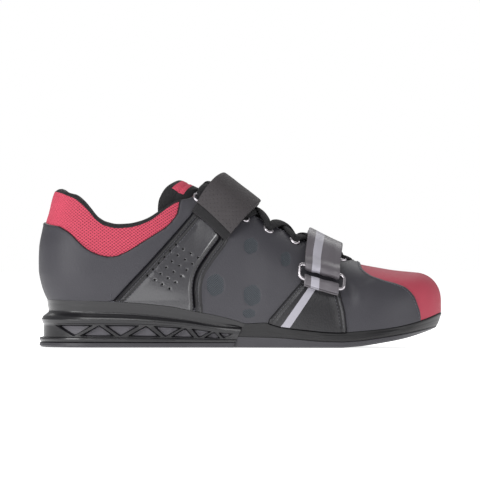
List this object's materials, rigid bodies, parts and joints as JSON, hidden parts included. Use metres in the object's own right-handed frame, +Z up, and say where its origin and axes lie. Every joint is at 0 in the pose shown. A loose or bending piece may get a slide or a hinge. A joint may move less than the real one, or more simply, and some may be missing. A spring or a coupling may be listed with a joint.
{
  "type": "weightlifting shoe",
  "caption": "Low weightlifting shoe for the right foot with a raised hard heel, a padded collar, laces and two opposing straps folded back through wire rings.",
  "frame": {"origin": "Middle of the shoe's box at the floor, so z = 0 is the ground plane under the sole.", "axes": "+X from heel to toe, +Z up, +Y to the inner side of the right foot."},
  "size_m": [0.2992, 0.1062, 0.1298],
  "materials": {
    "red_mesh": "red knitted mesh over foam",
    "dark_synthetic": "dark grey smooth synthetic leather, satin",
    "glossy_synthetic": "near-black coated synthetic leather, glossy",
    "moulded_heel": "near-black moulded polyurethane, glossy",
    "rubber": "dark grey rubber, matt",
    "webbing": "dark grey nubuck-faced strap",
    "lace": "black flat woven lace",
    "steel": "silvery plated wire and eyelets",
    "foam": "dark padded textile lining"
  },
  "bodies": {
    "root": {"heel_unit": "moulded_heel", "outsole_heel": "rubber", "midsole_forefoot": "moulded_heel", "outsole_forefoot": "rubber", "insole": "foam", "upper": "red_mesh", "tongue": "foam", "heel_counter": "dark_synthetic", "strap_panel_outer": "glossy_synthetic", "strap_panel_inner": "glossy_synthetic", "quarter_outer": "dark_synthetic", "quarter_inner": "dark_synthetic", "vamp_panel": "dark_synthetic", "strap_anchor_outer": "glossy_synthetic", "strap_anchor_inner": "glossy_synthetic", "front_strap": "webbing", "front_strap_ring": "steel", "front_strap_tab": "webbing", "top_strap": "webbing", "top_strap_ring": "steel", "top_strap_tab": "webbing", "laces": "lace", "eyelet_outer_1": "steel", "eyelet_outer_2": "steel", "eyelet_outer_3": "steel", "eyelet_outer_4": "steel", "eyelet_outer_5": "steel", "eyelet_outer_6": "steel", "eyelet_outer_7": "steel", "eyelet_inner_1": "steel", "eyelet_inner_2": "steel", "eyelet_inner_3": "steel", "eyelet_inner_4": "steel", "eyelet_inner_5": "steel", "eyelet_inner_6": "steel", "eyelet_inner_7": "steel"}
  },
  "joints": []
}
